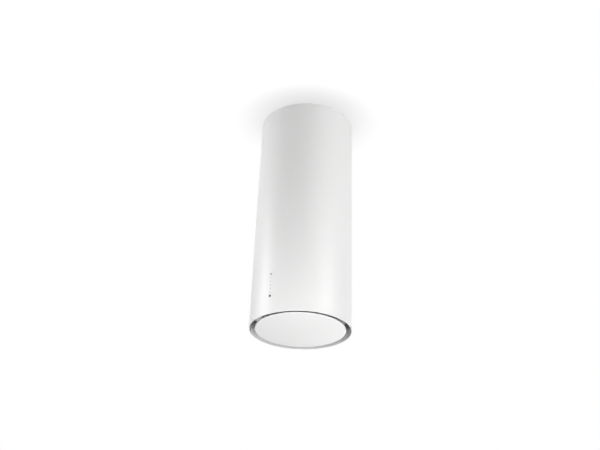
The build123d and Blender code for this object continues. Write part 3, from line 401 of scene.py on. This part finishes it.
# Finishes. Each is named for its slot in the record and takes its colour from there.


def finish_name(slot):
    return slot + "_finish"


def new_finish(slot, rough=0.5, metal=0.0):
    finish = bpy.data.materials.new(finish_name(slot))
    finish.use_nodes = True
    tree = finish.node_tree
    shader = tree.nodes["Principled BSDF"]
    shader.inputs["Roughness"].default_value = rough
    shader.inputs["Metallic"].default_value = metal
    return tree, shader


def slot_colour(slot):
    for material in frame["record"]["materials"]:
        if material["slot"] == slot:
            return material["base_color"]
    raise KeyError(slot)


def coords(tree, scale=(1.0, 1.0, 1.0)):
    """Object coordinates, stretched along the axes."""
    source = tree.nodes.new("ShaderNodeTexCoord")
    mapping = tree.nodes.new("ShaderNodeMapping")
    mapping.inputs["Scale"].default_value = scale
    tree.links.new(source.outputs["Object"], mapping.inputs["Vector"])
    return mapping.outputs["Vector"]


def noise(tree, vector, scale, detail=2.0, rough=0.5):
    node = tree.nodes.new("ShaderNodeTexNoise")
    node.inputs["Scale"].default_value = scale
    node.inputs["Detail"].default_value = detail
    node.inputs["Roughness"].default_value = rough
    tree.links.new(vector, node.inputs["Vector"])
    return node.outputs["Fac"]


def spangle(tree, vector, scale):
    """A random grey for each crystal."""
    node = tree.nodes.new("ShaderNodeTexVoronoi")
    node.inputs["Scale"].default_value = scale
    tree.links.new(vector, node.inputs["Vector"])
    split = tree.nodes.new("ShaderNodeSeparateColor")
    tree.links.new(node.outputs["Color"], split.inputs["Color"])
    return split.outputs["Red"]


def tint(tree, shader, value, colour, low, high):
    """Colour that goes from low to high times its brightness with a value."""
    node = tree.nodes.new("ShaderNodeValToRGB")
    for stop, share in zip(node.color_ramp.elements, (low, high)):
        stop.color = [min(1.0, channel * share) for channel in colour] + [1.0]
    tree.links.new(value, node.inputs["Fac"])
    tree.links.new(node.outputs["Color"], shader.inputs["Base Color"])


def vary(tree, socket, value, low, high):
    """A socket that goes from low to high with a value."""
    node = tree.nodes.new("ShaderNodeMapRange")
    node.inputs["To Min"].default_value = low
    node.inputs["To Max"].default_value = high
    tree.links.new(value, node.inputs["Value"])
    tree.links.new(node.outputs["Result"], socket)


def relief(tree, shader, height, strength, distance):
    node = tree.nodes.new("ShaderNodeBump")
    node.inputs["Strength"].default_value = strength
    node.inputs["Distance"].default_value = distance
    tree.links.new(height, node.inputs["Height"])
    tree.links.new(node.outputs["Normal"], shader.inputs["Normal"])


def powder_coat(slot):
    """Satin paint with the faint orange peel of a baked powder coat."""
    tree, shader = new_finish(slot)
    place = coords(tree)
    tint(tree, shader, noise(tree, place, scale=7.0, detail=3.0), slot_colour(slot), low=0.985, high=1.0)
    vary(tree, shader.inputs["Roughness"], noise(tree, place, scale=45.0, detail=3.0), low=0.36, high=0.46)
    relief(tree, shader, noise(tree, place, scale=620.0, detail=2.0), strength=0.06, distance=0.0004)


def galvanised(slot):
    """Zinc-coated sheet with its crystals."""
    tree, shader = new_finish(slot, metal=1.0)
    place = coords(tree)
    crystal = spangle(tree, place, scale=170.0)
    tint(tree, shader, crystal, slot_colour(slot), low=0.93, high=1.05)
    vary(tree, shader.inputs["Roughness"], crystal, low=0.4, high=0.5)
    relief(tree, shader, noise(tree, place, scale=260.0, detail=4.0), strength=0.08, distance=0.0005)


def bright_zinc(slot):
    """Plated small parts, with fine tumbling marks."""
    tree, shader = new_finish(slot, metal=1.0)
    place = coords(tree)
    tint(tree, shader, noise(tree, place, scale=120.0, detail=3.0), slot_colour(slot), low=0.9, high=1.08)
    vary(tree, shader.inputs["Roughness"], noise(tree, place, scale=300.0, detail=4.0), low=0.24, high=0.4)
    relief(tree, shader, noise(tree, place, scale=900.0, detail=3.0), strength=0.08, distance=0.0002)


def motor_steel(slot):
    """Dark rolled steel, banded along the motor's axis like stacked core plates."""
    tree, shader = new_finish(slot, metal=1.0)
    bands = noise(tree, coords(tree, scale=(1400.0, 30.0, 30.0)), scale=1.0, detail=2.0)
    tint(tree, shader, bands, slot_colour(slot), low=0.75, high=1.15)
    vary(tree, shader.inputs["Roughness"], bands, low=0.38, high=0.55)
    relief(tree, shader, bands, strength=0.15, distance=0.0003)


def brushed_aluminium(slot):
    """Anodised sheet with brush lines from side to side."""
    tree, shader = new_finish(slot, metal=1.0)
    lines = noise(tree, coords(tree, scale=(18.0, 1500.0, 1500.0)), scale=1.0, detail=4.0, rough=0.6)
    tint(tree, shader, lines, slot_colour(slot), low=0.9, high=1.05)
    vary(tree, shader.inputs["Roughness"], lines, low=0.26, high=0.42)
    relief(tree, shader, lines, strength=0.1, distance=0.0002)


def smoked(slot):
    """Frosted dark cover of the ring light; its dark tone is partly its own smoke and partly painted shade
    for the deep gap round the panel.
    """
    tree, shader = new_finish(slot, rough=0.5)
    place = coords(tree)
    tint(tree, shader, noise(tree, place, scale=30.0, detail=2.0), slot_colour(slot), low=0.94, high=1.04)
    relief(tree, shader, noise(tree, place, scale=1500.0, detail=2.0), strength=0.08, distance=0.0002)
    shader.inputs["Specular IOR Level"].default_value = 0.25


def moulded(slot):
    """Moulded plastic with a fine spark-eroded grain."""
    tree, shader = new_finish(slot)
    place = coords(tree)
    tint(tree, shader, noise(tree, place, scale=60.0, detail=3.0), slot_colour(slot), low=0.88, high=1.08)
    vary(tree, shader.inputs["Roughness"], noise(tree, place, scale=240.0, detail=3.0), low=0.45, high=0.62)
    relief(tree, shader, noise(tree, place, scale=2200.0, detail=2.0), strength=0.12, distance=0.0002)


def circuit_board(slot):
    """Coated board, lighter where copper runs under the coat."""
    tree, shader = new_finish(slot, rough=0.34)
    tracks = tree.nodes.new("ShaderNodeTexBrick")
    tracks.inputs["Scale"].default_value = 160.0
    tracks.inputs["Mortar Size"].default_value = 0.06
    for name, share in {"Color1": 1.0, "Color2": 0.9, "Mortar": 1.6}.items():
        tracks.inputs[name].default_value = [channel * share for channel in slot_colour(slot)] + [1.0]
    tree.links.new(coords(tree), tracks.inputs["Vector"])
    tree.links.new(tracks.outputs["Color"], shader.inputs["Base Color"])
    relief(tree, shader, tracks.outputs["Fac"], strength=0.2, distance=0.0001)


def key_gloss(slot):
    """Smooth key plastic with a trace of handling."""
    tree, shader = new_finish(slot)
    place = coords(tree)
    tint(tree, shader, noise(tree, place, scale=180.0, detail=2.0), slot_colour(slot), low=0.94, high=1.04)
    vary(tree, shader.inputs["Roughness"], noise(tree, place, scale=420.0, detail=3.0), low=0.3, high=0.42)
    shader.inputs["Specular IOR Level"].default_value = 0.2
    relief(tree, shader, noise(tree, place, scale=2600.0, detail=2.0), strength=0.04, distance=0.0001)


FINISHES = {
    "white_paint": powder_coat,
    "galvanised_sheet": galvanised,
    "steel_fittings": bright_zinc,
    "motor_steel": motor_steel,
    "filter_aluminium": brushed_aluminium,
    # The ring light's channel and cover are dark partly in their own finish and partly as painted shade deep
    # in the gap round the panel
    "dark_aluminium": brushed_aluminium,
    "smoked_plastic": smoked,
    "black_plastic": moulded,
    "grey_plastic": moulded,
    "board_green": circuit_board,
    "magnet_grey": bright_zinc,
    "dark_key": key_gloss,
    "pale_key": key_gloss,
}


class HOOD_OT_finishes(Operator):
    """Makes the finishes and puts them on the carried-over nodes"""
    bl_idname = "hood.finishes"
    bl_label = "Finishes"

    def execute(self, context):
        for slot, make in FINISHES.items():
            make(slot)
        for part in frame["record"]["subparts"]:
            node = frame["nodes"][part["node"]]
            finish = bpy.data.materials[finish_name(part["material_slot"])]
            if not node.material_slots:
                node.data.materials.append(finish)
            for place in node.material_slots:
                place.material = finish
        return {"FINISHED"}


# The shell and its keys


def key_place(node, flange_margin):
    """Front, back, height and cap radius of a key."""
    low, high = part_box(node)
    return low.y, high.y, (low.z + high.z) / 2, (high.z - low.z) / 2 - flange_margin


class HOOD_OT_shell(Operator):
    """Rolls the white cylinder, rounds its rims, cuts the key holes and adds the studs"""
    bl_idname = "hood.shell"
    bl_label = "Shell"

    def execute(self, context):
        sizes = context.scene.hood_shell
        margin = context.scene.hood_keys.flange_margin
        low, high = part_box("outer_shell")
        length = high.z - low.z
        middle = (0, 0, (low.z + high.z) / 2)
        shell = add_round("shell_skin", high.x, length, middle, sizes.segments, ends="NOTHING")
        apply_modifier(shell, "SOLIDIFY", thickness=sizes.wall, offset=-1.0, use_even_offset=True)
        apply_modifier(shell, "BEVEL", width=sizes.rim_round, segments=3, angle_limit=SHARP_CORNER)
        for node in KEYS:
            front, back, height, radius = key_place(node, margin)
            place = (0, front, height)
            hole = add_round("hole", radius + sizes.key_gap, back - front, place, KEY_FACETS, True)
            cut_away(shell, hole)
        smooth(shell)
        studs = self.add_studs(sizes, margin, high.x - sizes.wall)
        make_active(shell)
        for stud in studs:
            stud.select_set(True)
        bpy.ops.object.join()
        hand_over(shell, "hood", "white_paint", "outer_shell")
        return {"FINISHED"}

    def add_studs(self, sizes, margin, inner_radius):
        """The two welded studs that carry the key unit."""
        low = key_place(KEYS[0], margin)[2] - sizes.stud_offset
        high = key_place(KEYS[-1], margin)[2] + sizes.stud_offset
        centre = (0, -inner_radius + sizes.stud_length / 2, low)
        stud = add_round("low_stud", sizes.stud_radius, sizes.stud_length, centre, STUD_FACETS, True)
        apply_modifier(stud, "BEVEL", width=sizes.stud_radius * STUD_ROUND, segments=2,
                       angle_limit=SHARP_CORNER)
        smooth(stud)
        return [stud, copy_up(stud, "high_stud", high - low)]


class HOOD_OT_keys(Operator):
    """Turns a large and a small push key with a dished cap, a flange and a stem, and copies the small one"""
    bl_idname = "hood.keys"
    bl_label = "Keys"

    def execute(self, context):
        sizes = context.scene.hood_keys
        slots = {part["node"]: part["material_slot"] for part in frame["record"]["subparts"]}
        heights = [key_place(node, sizes.flange_margin)[2] for node in KEYS]
        keys = [self.turn_key(node, sizes) for node in KEYS[:2]]
        for node, height in zip(KEYS[2:], heights[2:]):
            keys.append(copy_up(keys[1], node + "_turned", height - heights[1]))
        for node, key in zip(KEYS, keys):
            hand_over(key, node + "_cap", slots[node], node)
        return {"FINISHED"}

    def turn_key(self, node, sizes):
        front, back, height, radius = key_place(node, sizes.flange_margin)
        flange = front + sizes.flange_depth
        centre = (0, (front + flange) / 2, height)
        key = add_round(node + "_turned", radius, sizes.flange_depth, centre, KEY_FACETS, True)
        pick_faces(key, lambda face: face.normal.y > LOOKS_ALONG)
        steps = [
            ((radius + sizes.flange_margin) / radius, sizes.flange_sheet),
            (sizes.stem_radius / (radius + sizes.flange_margin), back - flange - sizes.flange_sheet),
        ]
        station = flange
        for share, length in steps:
            bpy.ops.mesh.extrude_region_move()
            bpy.ops.transform.resize(value=(share, 1.0, share), center_override=(0, station, height))
            bpy.ops.mesh.extrude_region_move(TRANSFORM_OT_translate={"value": (0, length, 0)})
            station += length
        leave_edit()
        pick_edges(key, lambda point: point.y < front + sizes.edge_round * AT_THE_END)
        bpy.ops.mesh.bevel(offset=sizes.edge_round, segments=4, profile=0.5, affect="EDGES")
        leave_edit()
        pick_faces(key, lambda face: face.normal.y < -LIES_FLAT and face.area > radius ** 2)
        for share in DISH_RINGS:
            bpy.ops.mesh.inset(thickness=radius * share)
            bpy.ops.transform.translate(value=(0, sizes.dish / len(DISH_RINGS), 0))
        leave_edit()
        smooth(key, KEY_CREASE)
        return key


# The bottom panel


class HOOD_OT_panel(Operator):
    """Presses the round bottom panel, with its soft edge and middle screw"""
    bl_idname = "hood.panel"
    bl_label = "Bottom panel"

    def execute(self, context):
        sizes = context.scene.hood_panel
        segments = context.scene.hood_shell.segments
        self.press_face(sizes, segments)
        self.turn_screw(sizes)
        return {"FINISHED"}

    def press_face(self, sizes, segments):
        low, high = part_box("panel_face")
        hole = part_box("panel_screw")[1].x + sizes.screw_gap
        face = add_round("panel_skin", high.x, high.z - low.z, (0, 0, (low.z + high.z) / 2), segments)
        pick_faces(face, lambda side: side.normal.z > LOOKS_ALONG)
        bpy.ops.mesh.delete(type="FACE")
        leave_edit()
        pick_edges(face, lambda point: point.z < low.z + sizes.sheet * AT_THE_END)
        bpy.ops.mesh.bevel(offset=sizes.edge_round, segments=12, profile=0.5, affect="EDGES")
        leave_edit()
        pick_faces(face, lambda side: side.normal.z < -LIES_FLAT and side.area > high.x ** 2)
        bpy.ops.mesh.inset(thickness=high.x - sizes.edge_round - hole)
        bpy.ops.mesh.delete(type="FACE")
        leave_edit()
        apply_modifier(face, "SOLIDIFY", thickness=sizes.sheet, offset=-1.0, use_even_offset=True)
        apply_modifier(face, "BEVEL", width=sizes.sheet * SHEET_ROUND, segments=2, angle_limit=SHARP_CORNER)
        smooth(face)
        hand_over(face, "panel", "white_paint", "panel_face")

    def turn_screw(self, sizes):
        low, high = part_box("panel_screw")
        length = high.z - low.z
        screw = add_round("panel_screw_turned", high.x, length, (0, 0, (low.z + high.z) / 2), SCREW_FACETS)
        apply_modifier(screw, "BEVEL", width=high.x * SCREW_ROUND, segments=3, angle_limit=SHARP_CORNER)
        socket = add_round("socket", sizes.socket_radius, 2 * sizes.socket_depth, (0, 0, low.z), SOCKET_SIDES)
        cut_away(screw, socket)
        smooth(screw)
        hand_over(screw, "panel", "steel_fittings", "panel_screw")


class HOOD_OT_filter(Operator):
    """Lays the fine layer of stretched metal on the filter's cover sheet"""
    bl_idname = "hood.filter"
    bl_label = "Filter layer"

    def execute(self, context):
        sizes = context.scene.hood_filter
        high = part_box("filter_mesh")[1]
        reach = high.x - sizes.edge
        # Side of a grid that covers the round filter once it is turned and squeezed
        width = 2 * math.sqrt(2) * reach / sizes.squeeze
        count = int(width / sizes.cell)
        clear_selection()
        bpy.ops.mesh.primitive_grid_add(
            x_subdivisions=count, y_subdivisions=count, size=width, location=(0, 0, high.z + sizes.rise),
            rotation=(0, 0, DIAMOND_TURN)
        )
        layer = settle("filter_layer")
        bpy.ops.object.mode_set(mode="EDIT")
        bpy.ops.mesh.select_all(action="SELECT")
        bpy.ops.transform.resize(value=(1.0, sizes.squeeze, 1.0), center_override=(0, 0, high.z))
        leave_edit()
        pick_faces(layer, lambda face: face.center.xy.length > reach - sizes.cell)
        bpy.ops.mesh.delete(type="FACE")
        leave_edit()
        apply_modifier(layer, "WIREFRAME", thickness=sizes.strand, use_even_offset=True, use_boundary=True)
        hand_over(layer, "hood", "filter_aluminium")
        return {"FINISHED"}


# The stage


def bearing_point(angle, distance, height):
    """Point at an angle from the front towards the right of someone before the hood."""
    return Vector((distance * math.sin(angle), -distance * math.cos(angle), height))


def add_lamp(name, power, size, place, target):
    clear_selection()
    bpy.ops.object.light_add(type="AREA", location=place)
    lamp = bpy.context.object
    lamp.name = name
    lamp.data.shape = "RECTANGLE"
    lamp.data.size, lamp.data.size_y = size
    lamp.data.energy = power
    lamp.rotation_euler = (Vector(target) - Vector(place)).to_track_quat("-Z", "Y").to_euler()
    lamp.visible_camera = False


def is_seen(tree):
    """1 for what the camera, a gloss or a glass sees, and 0 for light on other things."""
    path = tree.nodes.new("ShaderNodeLightPath")
    value = path.outputs["Is Camera Ray"]
    for name in ("Is Glossy Ray", "Is Transmission Ray"):
        most = tree.nodes.new("ShaderNodeMath")
        most.operation = "MAXIMUM"
        tree.links.new(value, most.inputs[0])
        tree.links.new(path.outputs[name], most.inputs[1])
        value = most.outputs[0]
    return value


def room_paint(name, sizes):
    """Paint that reads white with a painted soft shade near the hood, worked out from ambient occlusion,
    plain to the light and clear from behind.
    """
    paint = bpy.data.materials.new(name)
    paint.use_nodes = True
    tree = paint.node_tree
    tree.nodes.clear()
    out = tree.nodes.new("ShaderNodeOutputMaterial")
    matt = tree.nodes.new("ShaderNodeBsdfDiffuse")
    matt.inputs["Color"].default_value = (sizes.room_shade,) * 3 + (1.0,)
    side = tree.nodes.new("ShaderNodeNewGeometry")
    # Painted shade: the glow seen by the camera and in reflections dims by ambient occlusion round the hood,
    # its normal leaned away from the camera
    lean = tree.nodes.new("ShaderNodeVectorMath")
    lean.operation = "SUBTRACT"
    lean.inputs[1].default_value = bearing_point(sizes.camera_bearing, sizes.contact_lean, 0.0)
    tree.links.new(side.outputs["Normal"], lean.inputs[0])
    unit = tree.nodes.new("ShaderNodeVectorMath")
    unit.operation = "NORMALIZE"
    tree.links.new(lean.outputs["Vector"], unit.inputs[0])
    shade = tree.nodes.new("ShaderNodeAmbientOcclusion")
    shade.inputs["Distance"].default_value = sizes.contact_reach
    tree.links.new(unit.outputs["Vector"], shade.inputs["Normal"])
    # Painted shade: this glow is full white away from the hood and dims towards the contact shade near it
    white = tree.nodes.new("ShaderNodeEmission")
    vary(tree, white.inputs["Strength"], shade.outputs["AO"], sizes.contact_shade, 1.0)
    clear = tree.nodes.new("ShaderNodeBsdfTransparent")
    front = tree.nodes.new("ShaderNodeMixShader")
    tree.links.new(is_seen(tree), front.inputs[0])
    tree.links.new(matt.outputs[0], front.inputs[1])
    tree.links.new(white.outputs[0], front.inputs[2])
    both = tree.nodes.new("ShaderNodeMixShader")
    tree.links.new(side.outputs["Backfacing"], both.inputs[0])
    tree.links.new(front.outputs[0], both.inputs[1])
    tree.links.new(clear.outputs[0], both.inputs[2])
    tree.links.new(both.outputs[0], out.inputs["Surface"])
    return paint


class HOOD_OT_stage(Operator):
    """Sets the camera, the lamps, the ceiling, the floor and the air round the hood"""
    bl_idname = "hood.stage"
    bl_label = "Stage"

    def execute(self, context):
        sizes = context.scene.hood_stage
        context.scene.view_settings.view_transform = "Standard"
        self.set_camera(context, sizes)
        self.set_lamps(sizes)
        self.set_room(sizes)
        self.set_air(context)
        return {"FINISHED"}

    def set_camera(self, context, sizes):
        place = bearing_point(sizes.camera_bearing, sizes.camera_distance, -sizes.camera_drop)
        clear_selection()
        bpy.ops.object.camera_add(location=place)
        camera = context.object
        camera.name = "camera"
        camera.data.sensor_fit = "HORIZONTAL"
        camera.data.sensor_width = SENSOR_WIDTH
        camera.data.lens = sizes.lens
        turn = sizes.camera_bearing - sizes.camera_pan
        level = Matrix.Rotation(turn, 4, "Z") @ Matrix.Rotation(math.pi / 2 + sizes.camera_pitch, 4, "X")
        camera.rotation_euler = (level @ Matrix.Rotation(sizes.camera_roll, 4, "Z")).to_euler()
        context.scene.camera = camera

    def set_lamps(self, sizes):
        middle = (0.0, 0.0, (cad_low.z + cad_high.z) / 2)
        rim = (0.0, 0.0, cad_low.z * RIM_AIM)
        for lamp in LAMPS:
            angle = sizes.camera_bearing + math.radians(lamp.angle)
            place = bearing_point(angle, lamp.distance, lamp.level)
            target = rim if lamp.at_rim else middle
            add_lamp(lamp.name, getattr(sizes, lamp.name), (lamp.width, lamp.height), place, target)

    def set_room(self, sizes):
        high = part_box("outer_shell")[1]
        ceiling = self.add_disc("ceiling", sizes.ceiling_radius, cad_high.z)
        bpy.ops.object.mode_set(mode="EDIT")
        bpy.ops.mesh.select_all(action="SELECT")
        bpy.ops.mesh.flip_normals()
        bpy.ops.mesh.inset(thickness=sizes.ceiling_radius - high.x)
        bpy.ops.mesh.delete(type="FACE")
        leave_edit()
        ceiling.data.materials.append(room_paint("ceiling_paint", sizes))
        floor = self.add_disc("floor", sizes.floor_radius, -sizes.room_height)
        floor.data.materials.append(room_paint("floor_paint", sizes))

    def add_disc(self, name, radius, height):
        clear_selection()
        bpy.ops.mesh.primitive_circle_add(
            vertices=DISC_FACETS, radius=radius, fill_type="NGON", location=(0, 0, height)
        )
        return settle(name)

    def set_air(self, context):
        world = context.scene.world or bpy.data.worlds.new("air")
        context.scene.world = world
        world.use_nodes = True
        tree = world.node_tree
        back = tree.nodes["Background"]
        back.inputs["Color"].default_value = (1.0, 1.0, 1.0, 1.0)
        tree.links.new(is_seen(tree), back.inputs["Strength"])


class HOOD_PT_sidebar(Panel):
    bl_idname = "HOOD_PT_sidebar"
    bl_label = "Island range hood"
    bl_space_type = "VIEW_3D"
    bl_region_type = "UI"
    bl_category = "Hood"

    def draw(self, context):
        for name, operators in GROUPS.items():
            box = self.layout.box()
            group = getattr(context.scene, name, None)
            if group:
                for key in group.__annotations__:
                    box.prop(group, key)
            for operator in operators:
                box.operator(operator)


GROUPS = {
    "hood_finishes": ["hood.finishes"],
    "hood_shell": ["hood.shell"],
    "hood_panel": ["hood.panel"],
    "hood_keys": ["hood.keys"],
    "hood_filter": ["hood.filter"],
    "hood_stage": ["hood.stage"],
}
PROPERTY_GROUPS = {
    "hood_shell": HoodShell,
    "hood_panel": HoodPanel,
    "hood_keys": HoodKeys,
    "hood_filter": HoodFilter,
    "hood_stage": HoodStage,
}
CLASSES = [
    *PROPERTY_GROUPS.values(),
    HOOD_OT_finishes,
    HOOD_OT_shell,
    HOOD_OT_panel,
    HOOD_OT_keys,
    HOOD_OT_filter,
    HOOD_OT_stage,
    HOOD_PT_sidebar,
]


def register():
    for cls in CLASSES:
        bpy.utils.register_class(cls)
    for name, group in PROPERTY_GROUPS.items():
        setattr(bpy.types.Scene, name, PointerProperty(type=group))


def unregister():
    for name in PROPERTY_GROUPS:
        delattr(bpy.types.Scene, name)
    for cls in reversed(CLASSES):
        bpy.utils.unregister_class(cls)


def main():
    register()
    bpy.ops.hood.stage()
    bpy.ops.hood.finishes()
    bpy.ops.hood.shell()
    bpy.ops.hood.panel()
    bpy.ops.hood.keys()
    bpy.ops.hood.filter()


if __name__ == "__main__":
    main()
